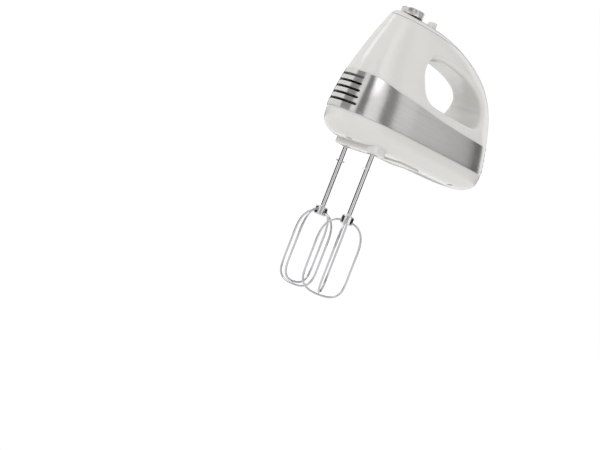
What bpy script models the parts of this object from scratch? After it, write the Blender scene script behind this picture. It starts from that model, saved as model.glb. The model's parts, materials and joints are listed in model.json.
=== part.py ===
"""Hand mixer: a hollow body with a loop handle, a slotted steel band, a speed dial, an ejector and two
wire beaters, with the motor, worm drive and wiring parts inside.

All lengths below are in millimetres and angles in degrees. +Z is up and the beaters point down, the nose
points to -Y and the heel to +Y. Shapes are drawn from a working zero that lies midway between the beater
axes on the underside of the boss with the sockets; the finished mixer is then moved so that the middle of
its handle, at GRIP, is the origin.
"""
import math

import bmesh
import bpy
from mathutils import Matrix, Vector

MM = 0.001
GRIP = (0.0, 85.0, 126.0)

# Body skin: height, nose tip y, heel y, half width and heel corner exponent of each level section.
SKIN_LEVELS = (
    (5.5, -36.0, 150.0, 20.0, 3.5),
    (7.0, -43.0, 160.0, 27.0, 4.0),
    (9.5, -48.5, 165.0, 30.5, 4.5),
    (13.0, -53.0, 169.0, 33.0, 5.0),
    (18.0, -56.2, 172.5, 35.0, 5.0),
    (29.0, -57.0, 174.0, 36.0, 5.0),
    (45.0, -55.5, 171.0, 35.3, 5.0),
    (61.0, -52.7, 166.5, 34.0, 5.0),
    (72.0, -50.4, 165.0, 32.3, 4.6),
    (85.0, -47.0, 163.4, 29.4, 4.0),
    (98.0, -42.7, 159.0, 26.4, 3.6),
    (110.0, -38.3, 150.5, 24.0, 3.2),
    (120.0, -34.0, 138.5, 22.0, 3.0),
    (130.0, -29.5, 118.0, 19.8, 2.8),
    (137.0, -26.7, 96.0, 17.6, 2.6),
    (141.0, -24.5, 78.0, 15.6, 2.5),
    (143.5, -21.0, 60.0, 12.6, 2.4),
    (144.8, -14.0, 46.0, 8.5, 2.3),
)
SKIN_MID_Y = 25.0
NOSE_EXPONENT = 2.2
WALL = 2.2
SKIN_POINTS = 44

# Finger opening in side view, as y and z of its corners.
FINGER_HOLE = (
    (24.5, 100.0), (27.0, 88.0), (32.0, 78.0), (42.0, 71.5), (56.0, 69.5), (110.0, 69.5),
    (125.0, 71.5), (132.5, 78.0), (134.5, 88.0), (131.0, 98.0), (118.0, 107.0), (92.0, 114.0),
    (62.0, 116.5), (40.0, 115.5), (29.0, 110.5),
)
HOLE_WALL = 2.4

# Split between the upper and lower shells, hidden behind the band.
SPLIT_Z = 33.0
GAP = 0.3

# Screw posts: x, y, where the post starts above the floor, and how far its web reaches to the side.
POSTS = (("front_left", -9.5, -31.0, 9.0, -25.0), ("front_right", 9.5, -31.0, 9.0, 25.0),
         ("rear_left", -22.0, 128.0, 7.0, -32.6), ("rear_right", 22.0, 128.0, 7.0, 32.6))

# Lower edge of the strip that covers the top of the handle, as y and z in side view.
COVER_EDGE = (
    (-60.0, 139.0), (52.0, 139.0), (76.0, 138.0), (97.0, 131.5), (116.0, 123.0), (134.0, 113.0),
    (145.0, 105.0), (151.5, 97.0), (155.5, 88.0), (157.5, 80.0), (180.0, 79.0),
)

# Steel band: lower edge height, and y and z along its upper edge.
BAND_BOTTOM = 29.4
BAND_TOP = (
    (-60.0, 70.2), (-40.0, 70.4), (-28.0, 69.0), (-9.0, 66.0), (13.0, 64.2), (36.0, 62.3),
    (67.0, 59.8), (102.0, 58.4), (127.0, 58.0), (180.0, 58.4),
)
BAND_END_Y = 154.0
BAND_INNER = 0.3
BAND_OUTER = 0.8
SLOT_COUNT = 5
SLOT_FIRST_Z = 37.2
SLOT_PITCH = 6.8
SLOT_HEIGHT = 2.6
SLOT_HALF_LOW = 18.5
SLOT_HALF_HIGH = 14.5

# Louvred panel on the heel, between the band's ends.
GRILLE_HALF = 22.0
GRILLE_LOW = 32.0
GRILLE_HIGH = 61.0
LOUVRE_COUNT = 4
LOUVRE_PITCH = 5.6
LOUVRE_HEIGHT = 2.4
GLAND_Z = 69.0

# Beaters.
BEATER_X = 19.0
SHAFT_R = 2.25
SHAFT_TOP = 38.0
EAR_Z = -16.0
HUB_Z = -70.6
HUB_R = 6.2
HUB_HEIGHT = 9.0
WIRE_R = 1.1
LOOP_TOP = -72.0
LOOP_BOTTOM = -150.3
LOOP_PROFILE = (
    (4.6, 0.0), (9.0, -0.4), (13.5, -2.6), (17.2, -6.4), (19.8, -11.6), (21.2, -18.0), (21.8, -28.0),
    (21.8, -44.0), (21.8, -58.0), (21.2, -65.5), (18.6, -71.4), (13.6, -75.2), (7.0, -76.9), (0.0, -77.2),
)
LEFT_TURN = 8.0
RIGHT_TURN = 37.0
LOOP_STEP = 2.6

# Worm drive.
AXIS_Z = 42.0
TEETH = 18
MODULE = 1.2778
GEAR_R = 11.5
WORM_R = 7.5
TOOTH_HALF = 0.7
GEAR_HALF_HEIGHT = 4.0
SLEEVE_R = 4.2
SLEEVE_BORE = 2.65
WORM_HALF_LENGTH = 10.0

# Dial and ejector.
DIAL_R = 12.0
DIAL_LOW = 145.1
DIAL_HIGH = 152.2
EJECT_Y = 33.5
EJECT_TOP = 152.0
FORK_LOW = 70.0
STEM_Y = 15.0
SPRING_LOW = 99.0
SPRING_HIGH = 108.5


# Where each moving piece turns or slides.
SEATS = (
    ("speed_dial", (0.0, 0.0, DIAL_LOW)),
    ("eject_button", (0.0, EJECT_Y, 141.0)),
    ("ejector_fork", (0.0, STEM_Y, FORK_LOW)),
    ("eject_spring", (0.0, STEM_Y, SPRING_LOW)),
    ("motor_shaft", (0.0, 0.0, AXIS_Z)),
    ("worm_gear_left", (-BEATER_X, 0.0, AXIS_Z)),
    ("worm_gear_right", (BEATER_X, 0.0, AXIS_Z)),
    ("beater_shaft_left", (-BEATER_X, 0.0, 0.0)),
    ("beater_shaft_right", (BEATER_X, 0.0, 0.0)),
)


def clear_file():
    for item in list(bpy.data.objects):
        bpy.data.objects.remove(item, do_unlink=True)
    for item in list(bpy.data.collections):
        bpy.data.collections.remove(item)


def new_collection(name):
    made = bpy.data.collections.new(name)
    bpy.context.scene.collection.children.link(made)
    return made


def material(name, colour, roughness, metallic):
    made = bpy.data.materials.new(name)
    made.use_nodes = True
    shader = made.node_tree.nodes["Principled BSDF"]
    shader.inputs["Base Color"].default_value = (colour[0], colour[1], colour[2], 1.0)
    shader.inputs["Roughness"].default_value = roughness
    shader.inputs["Metallic"].default_value = metallic
    return made


def place(name, bm, collection, finish=None):
    """Turns a bmesh in millimetres into a named object in metres."""
    bmesh.ops.scale(bm, vec=(MM, MM, MM), verts=bm.verts)
    bmesh.ops.recalc_face_normals(bm, faces=bm.faces)
    mesh = bpy.data.meshes.new(name)
    bm.to_mesh(mesh)
    bm.free()
    made = bpy.data.objects.new(name, mesh)
    collection.objects.link(made)
    if finish is not None:
        mesh.materials.append(finish)
    return made


def cutter(name, bm, collection):
    made = place(name, bm, collection)
    made.hide_render = True
    made.display_type = "WIRE"
    return made


def between(table, value):
    """Reads a table of (key, number...) rows at a value, going smoothly from row to row."""
    if value <= table[0][0]:
        return table[0][1:]
    for low, high in zip(table, table[1:]):
        if value <= high[0]:
            share = (value - low[0]) / (high[0] - low[0])
            return tuple(a + (b - a) * share for a, b in zip(low[1:], high[1:]))
    return table[-1][1:]


def skin_point(angle, z, out):
    """A point of the skin at one height, moved outwards by out; angle 0 is +X and 90 degrees the heel."""
    nose, heel, half, square = between(SKIN_LEVELS, z)
    c = math.cos(angle)
    s = math.sin(angle)
    power = square if s > 0 else NOSE_EXPONENT
    length = (heel - SKIN_MID_Y if s > 0 else SKIN_MID_Y - nose) + out
    half = half + out
    reach = (abs(c) ** power + abs(s) ** power) ** (-1.0 / power)
    return (half * c * reach, SKIN_MID_Y + length * s * reach, z)


def ring_angles(count):
    """Angles that crowd towards the corners of the heel."""
    made = []
    for index in range(count):
        t = 2.0 * math.pi * index / count
        made.append(t - 0.16 * math.sin(2.0 * t) * (1.0 if math.sin(t) > 0 else 0.5))
    return made


def loft(sections):
    """A closed solid through level rings with the same number of points."""
    bm = bmesh.new()
    rings = [[bm.verts.new(point) for point in ring] for ring in sections]
    count = len(rings[0])
    for low, high in zip(rings, rings[1:]):
        for i in range(count):
            j = (i + 1) % count
            bm.faces.new((low[i], low[j], high[j], high[i]))
    bm.faces.new(list(reversed(rings[0])))
    bm.faces.new(rings[-1])
    return bm


def skin_solid():
    angles = ring_angles(SKIN_POINTS)
    return loft([[skin_point(a, level[0], 0.0) for a in angles] for level in SKIN_LEVELS])


def cavity_solid():
    """The inside of the skin: each section is taken nearer the middle, so floor and roof have a wall."""
    angles = ring_angles(SKIN_POINTS)
    low = SKIN_LEVELS[0][0] + WALL
    high = SKIN_LEVELS[-1][0] - WALL - 0.4
    heights = (low, 9.8, 12.2, 16.0, 21.0, 30.0, 45.0, 61.0, 72.0, 85.0, 98.0, 109.0, 118.0, 127.0, 134.0,
               138.2, 140.8, high)
    sections = []
    for z in heights:
        if z < 30.0:
            read = z - WALL * (30.0 - z) / (30.0 - low)
        else:
            read = z + (WALL + 0.4) * max(0.0, (z - 85.0) / (high - 85.0))
        sections.append([skin_point(a, read, -WALL)[:2] + (z,) for a in angles])
    return loft(sections)


def prism_x(outline, half):
    """A side view outline of (y, z) pairs, extruded from -half to half along X."""
    return loft([[(-half, y, z) for y, z in outline], [(half, y, z) for y, z in outline]])


def grown(outline, amount):
    """The outline moved outwards by an amount, corner by corner."""
    made = []
    count = len(outline)
    for i in range(count):
        before = Vector(outline[i - 1])
        here = Vector(outline[i])
        after = Vector(outline[(i + 1) % count])
        one = (here - before).normalized()
        two = (after - here).normalized()
        normal = Vector((one.y + two.y, -one.x - two.x)).normalized()
        share = max(0.5, normal.dot(Vector((one.y, -one.x))))
        made.append(tuple(here + normal * (amount / share)))
    return made


def box(low, high):
    bm = bmesh.new()
    bmesh.ops.create_cube(bm, size=1.0)
    size = [b - a for a, b in zip(low, high)]
    middle = [(a + b) / 2.0 for a, b in zip(low, high)]
    bmesh.ops.scale(bm, vec=size, verts=bm.verts)
    bmesh.ops.translate(bm, vec=middle, verts=bm.verts)
    return bm


def turned(steps, count, at=(0.0, 0.0, 0.0), axis="Z"):
    """A solid of revolution through (radius, height) steps, bottom to top, with flat ends."""
    rings = []
    for radius, height in steps:
        rings.append([(radius * math.cos(2.0 * math.pi * i / count),
                       radius * math.sin(2.0 * math.pi * i / count), height) for i in range(count)])
    bm = loft(rings)
    if axis == "Y":
        bmesh.ops.rotate(bm, verts=bm.verts, matrix=Matrix.Rotation(math.radians(-90.0), 3, "X"))
    if axis == "X":
        bmesh.ops.rotate(bm, verts=bm.verts, matrix=Matrix.Rotation(math.radians(90.0), 3, "Y"))
    bmesh.ops.translate(bm, vec=at, verts=bm.verts)
    return bm


def tube(outer, inner, low, high, count, at, axis="Z"):
    """A plain bush: outer and inner radius between two heights along its axis."""
    bm = bmesh.new()
    rings = []
    for radius, height in ((outer, low), (outer, high), (inner, high), (inner, low)):
        rings.append([bm.verts.new((radius * math.cos(2.0 * math.pi * i / count),
                                    radius * math.sin(2.0 * math.pi * i / count), height))
                      for i in range(count)])
    for k in range(4):
        one = rings[k]
        two = rings[(k + 1) % 4]
        for i in range(count):
            j = (i + 1) % count
            bm.faces.new((one[i], one[j], two[j], two[i]))
    if axis == "Y":
        bmesh.ops.rotate(bm, verts=bm.verts, matrix=Matrix.Rotation(math.radians(-90.0), 3, "X"))
    if axis == "X":
        bmesh.ops.rotate(bm, verts=bm.verts, matrix=Matrix.Rotation(math.radians(90.0), 3, "Y"))
    bmesh.ops.translate(bm, vec=at, verts=bm.verts)
    return bm


def rounded(x0, x1, y0, y1, radius, steps):
    """A rectangle with rounded corners, counter-clockwise from above."""
    made = []
    for cx, cy, start in ((x1, y1, 0.0), (x0, y1, 90.0), (x0, y0, 180.0), (x1, y0, 270.0)):
        mx = cx - radius if cx == x1 else cx + radius
        my = cy - radius if cy == y1 else cy + radius
        for i in range(steps + 1):
            a = math.radians(start + 90.0 * i / steps)
            made.append((mx + radius * math.cos(a), my + radius * math.sin(a)))
    return made


def prism_z(outline, low, high):
    return loft([[(x, y, low) for x, y in outline], [(x, y, high) for x, y in outline]])


def combine(target, tool, operation):
    """Applies one Boolean to an object's mesh."""
    step = target.modifiers.new(operation, "BOOLEAN")
    step.operation = operation
    step.solver = "EXACT"
    step.object = tool
    graph = bpy.context.evaluated_depsgraph_get()
    result = bpy.data.meshes.new_from_object(target.evaluated_get(graph))
    target.modifiers.remove(step)
    target.data = result
    bpy.data.objects.remove(tool, do_unlink=True)


def tidy(target):
    """Joins the points that a Boolean left closer together than a hundredth of a millimetre."""
    bm = bmesh.new()
    bm.from_mesh(target.data)
    bmesh.ops.remove_doubles(bm, verts=bm.verts, dist=0.01 * MM)
    bmesh.ops.dissolve_degenerate(bm, edges=bm.edges, dist=0.005 * MM)
    bm.to_mesh(target.data)
    bm.free()


def upper_skin(name, parts, tools, finish):
    """The skin above the split, hollow, with the finger opening through it."""
    body = place(name, skin_solid(), parts, finish)
    hollow = cutter("hollow", cavity_solid(), tools)
    combine(hollow, cutter("hole_wall", prism_x(grown(FINGER_HOLE, HOLE_WALL), 60.0), tools), "DIFFERENCE")
    combine(body, hollow, "DIFFERENCE")
    combine(body, cutter("hole", prism_x(FINGER_HOLE, 60.0), tools), "DIFFERENCE")
    combine(body, cutter("below", box((-80, -100, -20), (80, 220, SPLIT_Z)), tools), "DIFFERENCE")
    return body


def nose_slots(tools, low, high):
    """The five air slots in the nose, as one set of cutting blocks."""
    made = []
    for i in range(SLOT_COUNT):
        z = SLOT_FIRST_Z + SLOT_PITCH * i
        half = SLOT_HALF_LOW + (SLOT_HALF_HIGH - SLOT_HALF_LOW) * i / (SLOT_COUNT - 1)
        block = box((-half, low, z - SLOT_HEIGHT / 2.0), (half, high, z + SLOT_HEIGHT / 2.0))
        made.append(cutter("slot_%d" % i, block, tools))
    return made


def main_housing(parts, tools, finish):
    body = upper_skin("main_housing", parts, tools, finish)
    edge = [(y, z - GAP) for y, z in COVER_EDGE]
    above = edge + [(180.0, 200.0), (-60.0, 200.0)]
    combine(body, cutter("cover_room", prism_x(above, 60.0), tools), "DIFFERENCE")
    for slot in nose_slots(tools, -70.0, -42.0):
        combine(body, slot, "DIFFERENCE")
    combine(body, cutter("heel_window", box((-18.0, 150.0, 35.5), (18.0, 190.0, 58.0)), tools), "DIFFERENCE")
    gland_hole = turned([(5.0, 0.0), (5.0, 40.0)], 16, (0.0, 150.0, GLAND_Z), "Y")
    combine(body, cutter("gland_hole", gland_hole, tools), "DIFFERENCE")
    for _, x, y, _, web in POSTS:
        combine(body, cutter("post", turned([(4.6, SPLIT_Z), (4.6, 56.0)], 12, (x, y, 0.0)), tools), "UNION")
        left, right = sorted((x, web))
        low = (left, y - 1.5, SPLIT_Z)
        high = (right, y + 1.5, 55.0)
        combine(body, cutter("post_web", box(low, high), tools), "UNION")
        bore = turned([(1.3, SPLIT_Z - 5.0), (1.3, 50.0)], 12, (x, y, 0.0))
        combine(body, cutter("post_bore", bore, tools), "DIFFERENCE")
    tidy(body)
    return body


def top_cover(parts, tools, finish):
    strip = upper_skin("top_cover", parts, tools, finish)
    below = list(COVER_EDGE) + [(180.0, -50.0), (-60.0, -50.0)]
    combine(strip, cutter("cover_below", prism_x(below, 60.0), tools), "DIFFERENCE")
    combine(strip, cutter("dial_hole", turned([(3.6, 130.0), (3.6, 150.0)], 16), tools), "DIFFERENCE")
    slot = box((-4.4, EJECT_Y - 4.9, 130.0), (4.4, EJECT_Y + 4.9, 150.0))
    combine(strip, cutter("eject_slot", slot, tools), "DIFFERENCE")
    tidy(strip)
    return strip


def lower_housing(parts, tools, finish):
    """The bottom shell: boss with two sockets, a raised pad and four screw posts."""
    shell = place("lower_housing", skin_solid(), parts, finish)
    boss = prism_z(rounded(-28.5, 28.5, -13.0, 13.0, 9.0, 4), 0.0, 13.0)
    combine(shell, cutter("boss", boss, tools), "UNION")
    pad = prism_z(rounded(-20.0, 20.0, 44.0, 78.0, 5.0, 2), 3.4, 12.0)
    combine(shell, cutter("pad", pad, tools), "UNION")
    combine(shell, cutter("hollow", cavity_solid(), tools), "DIFFERENCE")
    combine(shell, cutter("above", box((-80, -100, SPLIT_Z - GAP), (80, 220, 200)), tools), "DIFFERENCE")
    for _, x, y, floor, _ in POSTS:
        combine(shell, cutter("post", turned([(5.2, floor), (5.2, 28.0)], 14, (x, y, 0.0)), tools), "UNION")
        bore = turned([(3.5, 0.0), (3.5, 15.0), (1.8, 15.01), (1.8, 30.0)], 12, (x, y, 0.0))
        combine(shell, cutter("counterbore", bore, tools), "DIFFERENCE")
    for x in (-1.0, 1.0):
        socket = turned([(7.3, 1.6), (7.3, 16.0)], 18, (BEATER_X * x, 0.0, 0.0))
        mouth = turned([(4.6, -4.0), (4.6, 10.0)], 18, (BEATER_X * x, 0.0, 0.0))
        rim = turned([(9.4, 7.0), (9.4, 13.0)], 20, (BEATER_X * x, 0.0, 0.0))
        combine(shell, cutter("boss_post", rim, tools), "UNION")
        combine(shell, cutter("socket", socket, tools), "DIFFERENCE")
        combine(shell, cutter("mouth", mouth, tools), "DIFFERENCE")
    tidy(shell)
    return shell


def skin_patch(angles, lows, highs, rows, inner, outer):
    """A sheet that follows the skin between two edges, lifted off it by inner and outer."""
    bm = bmesh.new()
    sides = []
    for out in (outer, inner):
        grid = []
        for j in range(rows + 1):
            line = []
            for a, low, high in zip(angles, lows, highs):
                line.append(bm.verts.new(skin_point(a, low + (high - low) * j / rows, out)))
            grid.append(line)
        sides.append(grid)
    front, back = sides
    last = len(angles) - 1
    for j in range(rows):
        for i in range(last):
            bm.faces.new((front[j][i], front[j][i + 1], front[j + 1][i + 1], front[j + 1][i]))
            bm.faces.new((back[j][i + 1], back[j][i], back[j + 1][i], back[j + 1][i + 1]))
        bm.faces.new((back[j][0], front[j][0], front[j + 1][0], back[j + 1][0]))
        bm.faces.new((front[j][last], back[j][last], back[j + 1][last], front[j + 1][last]))
    for i in range(last):
        bm.faces.new((back[0][i], back[0][i + 1], front[0][i + 1], front[0][i]))
        bm.faces.new((front[rows][i], front[rows][i + 1], back[rows][i + 1], back[rows][i]))
    return bm


def band_end_angle():
    """The skin angle at which the band's end stops."""
    angle = 0.0
    while skin_point(angle, 45.0, 0.0)[1] < BAND_END_Y:
        angle += 0.002
    return angle


def steel_band(parts, tools, finish):
    end = band_end_angle()
    count = 44
    angles = [end - (math.pi + 2.0 * end) * i / count for i in range(count + 1)]
    highs = []
    for a in angles:
        y = skin_point(a, 60.0, 0.0)[1]
        highs.append(between(BAND_TOP, y)[0])
    highs[0] -= 3.0
    highs[-1] -= 3.0
    sheet = skin_patch(angles, [BAND_BOTTOM] * len(angles), highs, 4, BAND_INNER, BAND_OUTER)
    band = place("steel_band", sheet, parts, finish)
    for slot in nose_slots(tools, -70.0, -42.0):
        combine(band, slot, "DIFFERENCE")
    tidy(band)
    return band


def rear_grille(parts, tools, finish):
    """A louvred panel that lies on the heel between the band's ends."""
    steps = 10
    start = 0.0
    while skin_point(start, 45.0, 0.0)[0] > GRILLE_HALF:
        start += 0.002
    angles = [start + (math.pi - 2.0 * start) * i / steps for i in range(steps + 1)]
    size = len(angles)
    panel = place("rear_grille", skin_patch(angles, [GRILLE_LOW] * size, [GRILLE_HIGH] * size, 2, 0.3, 1.4),
                  parts, finish)
    middle = (GRILLE_LOW + GRILLE_HIGH) / 2.0
    for i in range(LOUVRE_COUNT):
        z = middle + LOUVRE_PITCH * (i - (LOUVRE_COUNT - 1) / 2.0)
        block = box((-17.0, 140.0, z - LOUVRE_HEIGHT / 2.0), (17.0, 190.0, z + LOUVRE_HEIGHT / 2.0))
        combine(panel, cutter("louvre", block, tools), "DIFFERENCE")
    tidy(panel)
    return panel


def cord_gland(parts, finish):
    """The lined hole in the heel where the mains cord would enter."""
    place("cord_gland", tube(4.7, 2.6, 156.0, 167.0, 16, (0.0, 0.0, GLAND_Z), "Y"), parts, finish)


def wire_loop(name, turn, x, parts, finish):
    """One closed-bottom wire loop, bent from round wire; both ends sit in the hub."""
    scale = (LOOP_BOTTOM - LOOP_TOP) / LOOP_PROFILE[-1][1]
    half = [(r, LOOP_TOP + z * scale) for r, z in LOOP_PROFILE]
    path = half + [(-r, z) for r, z in reversed(half[:-1])]
    angle = math.radians(turn)
    curve = bpy.data.curves.new(name, "CURVE")
    curve.dimensions = "3D"
    curve.bevel_depth = WIRE_R * MM
    curve.bevel_resolution = 2
    curve.use_fill_caps = True
    spline = curve.splines.new("POLY")
    spline.points.add(len(path) - 1)
    for point, (r, z) in zip(spline.points, path):
        point.co = ((x + r * math.cos(angle)) * MM, r * math.sin(angle) * MM, z * MM, 1.0)
    shape = bpy.data.objects.new(name + "_curve", curve)
    parts.objects.link(shape)
    graph = bpy.context.evaluated_depsgraph_get()
    mesh = bpy.data.meshes.new_from_object(shape.evaluated_get(graph))
    bpy.data.objects.remove(shape, do_unlink=True)
    mesh.name = name
    mesh.materials.clear()
    mesh.materials.append(finish)
    made = bpy.data.objects.new(name, mesh)
    parts.objects.link(made)
    bm = bmesh.new()
    bm.from_mesh(mesh)
    bmesh.ops.remove_doubles(bm, verts=bm.verts, dist=0.005 * MM)
    bmesh.ops.recalc_face_normals(bm, faces=bm.faces)
    bm.to_mesh(mesh)
    bm.free()
    return made


def beater(side, x, turn, parts, tools, finish, wire_finish):
    """Shaft with stop ears and hub, and two crossed loops held in the hub."""
    half = HUB_HEIGHT / 2.0
    steps = [(HUB_R - 0.8, HUB_Z - half), (HUB_R, HUB_Z - half + 0.8), (HUB_R, HUB_Z + half - 0.8),
             (HUB_R - 0.8, HUB_Z + half), (SHAFT_R, HUB_Z + half + 0.01), (SHAFT_R, SHAFT_TOP - 1.0),
             (SHAFT_R - 0.9, SHAFT_TOP)]
    shaft = place("beater_shaft_" + side, turned(steps, 16, (x, 0.0, 0.0)), parts, finish)
    ears = box((x - 4.4, -0.8, EAR_Z - 0.7), (x + 4.4, 0.8, EAR_Z + 0.7))
    bmesh.ops.rotate(ears, verts=ears.verts, cent=(x, 0.0, 0.0),
                     matrix=Matrix.Rotation(math.radians(turn + 25.0), 3, "Z"))
    combine(shaft, cutter("ears", ears, tools), "UNION")
    for i in range(2):
        hole = turned([(WIRE_R + 0.3, -10.0), (WIRE_R + 0.3, -4.2)], 8, (0.0, 0.0, 0.0), "X")
        other = turned([(WIRE_R + 0.3, 4.2), (WIRE_R + 0.3, 10.0)], 8, (0.0, 0.0, 0.0), "X")
        level = LOOP_TOP + (LOOP_STEP if i else 0.0)
        for bm in (hole, other):
            spin = Matrix.Rotation(math.radians(turn + 90.0 * i), 3, "Z")
            bmesh.ops.rotate(bm, verts=bm.verts, matrix=spin)
            bmesh.ops.translate(bm, vec=(x, 0.0, level), verts=bm.verts)
            combine(shaft, cutter("wire_hole", bm, tools), "DIFFERENCE")
    tidy(shaft)
    wire_loop("beater_loop_outer_" + side, turn, x, parts, wire_finish)
    inner = wire_loop("beater_loop_inner_" + side, turn + 90.0, x, parts, wire_finish)
    inner.data.transform(Matrix.Translation((0.0, 0.0, LOOP_STEP * MM)))


def gear_outline(turn, phase):
    """Straight-flanked teeth; phase is where the first tooth's middle lies, in degrees."""
    pitch = 2.0 * math.pi / TEETH
    root = GEAR_R - 1.35
    tip = GEAR_R + 0.85
    base = (TOOTH_HALF + 0.35) / root
    point = (TOOTH_HALF - 0.35) / tip
    made = []
    for i in range(TEETH):
        middle = math.radians(phase) + turn + pitch * i
        for angle, radius in ((-base, root), (-point, tip), (point, tip), (base, root)):
            made.append((radius * math.cos(middle + angle), radius * math.sin(middle + angle)))
    return made


def worm_gear(name, x, phase, parts, tools, finish):
    """A helical gear on the sleeve that carries one beater."""
    rate = -(MODULE / (2.0 * WORM_R)) / GEAR_R
    rings = []
    for share in (-1.0, 0.0, 1.0):
        dz = GEAR_HALF_HEIGHT * share
        rings.append([(x + px, py, AXIS_Z + dz) for px, py in gear_outline(rate * dz, phase)])
    gear = place(name, loft(rings), parts, finish)
    sleeve = turned([(SLEEVE_R, -0.8), (SLEEVE_R, AXIS_Z + 12.0)], 18, (x, 0.0, 0.0))
    combine(gear, cutter("sleeve", sleeve, tools), "UNION")
    bore = turned([(SLEEVE_BORE, -5.0), (SLEEVE_BORE, AXIS_Z + 20.0)], 16, (x, 0.0, 0.0))
    combine(gear, cutter("bore", bore, tools), "DIFFERENCE")
    tidy(gear)
    return gear


def motor_shaft(parts, tools, finish):
    """A steel shaft along Y with a single-start worm between the two gears."""
    around = 16
    turns = 2.0 * WORM_HALF_LENGTH / (math.pi * MODULE)
    steps = int(around * turns)
    lead = math.pi * MODULE
    root = WORM_R - 1.3
    tip = WORM_R + 0.8
    profile = ((-TOOTH_HALF - 0.35, root - 0.35), (-TOOTH_HALF + 0.35, tip), (TOOTH_HALF - 0.35, tip),
               (TOOTH_HALF + 0.35, root - 0.35))
    bm = bmesh.new()
    rings = []
    for i in range(steps + 1):
        angle = 2.0 * math.pi * (i - steps / 2.0) / around
        ring = []
        for dy, radius in profile:
            ring.append(bm.verts.new((radius * math.cos(angle), lead * angle / (2.0 * math.pi) + dy,
                                      AXIS_Z + radius * math.sin(angle))))
        rings.append(ring)
    for one, two in zip(rings, rings[1:]):
        for k in range(4):
            m = (k + 1) % 4
            bm.faces.new((one[k], one[m], two[m], two[k]))
    bm.faces.new(rings[0])
    bm.faces.new(list(reversed(rings[-1])))
    thread = cutter("thread", bm, tools)
    steps_y = [(2.2, -25.0), (2.2, -15.0), (root, -14.99), (root, 14.99), (2.5, 15.0), (2.5, 117.0)]
    shaft = place("motor_shaft", turned(steps_y, 16, (0.0, 0.0, AXIS_Z), "Y"), parts, finish)
    combine(shaft, thread, "UNION")
    tidy(shaft)
    return shaft


def rotor(parts, tools, finishes):
    motor_shaft(parts, tools, finishes["steel"])
    at = (0.0, 0.0, AXIS_Z)
    place("commutator", tube(8.6, 2.8, 33.0, 44.0, 18, at, "Y"), parts, finishes["copper"])
    core = place("armature_core", tube(12.6, 2.8, 52.0, 78.0, 24, at, "Y"), parts, finishes["iron"])
    for i in range(8):
        groove = box((-1.1, 50.0, 8.6), (1.1, 80.0, 14.0))
        bmesh.ops.rotate(groove, verts=groove.verts, matrix=Matrix.Rotation(math.radians(45.0 * i), 3, "Y"))
        bmesh.ops.translate(groove, vec=at, verts=groove.verts)
        combine(core, cutter("groove", groove, tools), "DIFFERENCE")
    tidy(core)
    for name, low, high in (("armature_winding_front", 45.0, 51.7), ("armature_winding_rear", 78.3, 84.0)):
        place(name, tube(10.8, 2.8, low, high, 18, at, "Y"), parts, finishes["winding"])
    fan = place("cooling_fan", tube(6.0, 2.8, 88.0, 99.0, 18, at, "Y"), parts, finishes["fan"])
    combine(fan, cutter("fan_disc", tube(22.5, 4.4, 88.5, 90.1, 30, at, "Y"), tools), "UNION")
    for i in range(9):
        blade = box((4.7, 89.3, -0.6), (21.7, 97.0, 0.6))
        spin = Matrix.Rotation(math.radians(40.0 * i + 3.0), 3, "Y")
        bmesh.ops.rotate(blade, verts=blade.verts, matrix=spin)
        bmesh.ops.translate(blade, vec=at, verts=blade.verts)
        combine(fan, cutter("blade", blade, tools), "UNION")
    tidy(fan)


def stator(parts, tools, finishes):
    """A laminated core with two pole necks, and a flat coil around each neck."""
    core = place("stator_core", box((-25.0, 51.0, AXIS_Z - 22.0), (25.0, 79.0, AXIS_Z + 22.0)), parts,
                 finishes["iron"])
    bore = turned([(13.3, 40.0), (13.3, 90.0)], 28, (0.0, 0.0, AXIS_Z), "Y")
    combine(core, cutter("stator_bore", bore, tools), "DIFFERENCE")
    for up in (-1.0, 1.0):
        low = min(14.0 * up, 18.4 * up) + AXIS_Z
        for side in (-1.0, 1.0):
            left = min(10.7 * side, 17.6 * side)
            window = box((left, 40.0, low), (left + 6.9, 90.0, low + 4.4))
            combine(core, cutter("coil_window", window, tools), "DIFFERENCE")
        name = "field_coil_upper" if up > 0 else "field_coil_lower"
        ring = prism_z(rounded(-17.2, 17.2, 45.6, 84.4, 5.0, 3), low + 0.4, low + 4.0)
        coil = place(name, ring, parts, finishes["winding"])
        inner = prism_z(rounded(-11.1, 11.1, 50.6, 79.4, 0.6, 1), low - 2.0, low + 8.0)
        combine(coil, cutter("coil_inner", inner, tools), "DIFFERENCE")
        tidy(coil)
    tidy(core)


def bearings(parts, finishes):
    at = (0.0, 0.0, AXIS_Z)
    place("front_bearing", tube(5.6, 2.5, -24.0, -18.0, 16, at, "Y"), parts, finishes["bronze"])
    place("middle_bearing", tube(6.2, 2.8, 21.0, 28.0, 16, at, "Y"), parts, finishes["bronze"])
    place("rear_bearing", tube(6.2, 2.8, 108.0, 115.0, 16, at, "Y"), parts, finishes["bronze"])
    for side, x in (("left", -BEATER_X), ("right", BEATER_X)):
        place("spindle_bushing_" + side, tube(7.0, 4.5, 1.9, 13.0, 18, (x, 0.0, 0.0)), parts,
              finishes["bronze"])


def frame_wall(base, tools, y0, y1, half, top, hole):
    wall = cutter("wall", box((-half, y0, 16.0), (half, y1, top)), tools)
    bore = turned([(hole, y0 - 5.0), (hole, y1 + 5.0)], 16, (0.0, 0.0, AXIS_Z), "Y")
    combine(wall, cutter("wall_bore", bore, tools), "DIFFERENCE")
    combine(base, wall, "UNION")


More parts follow.
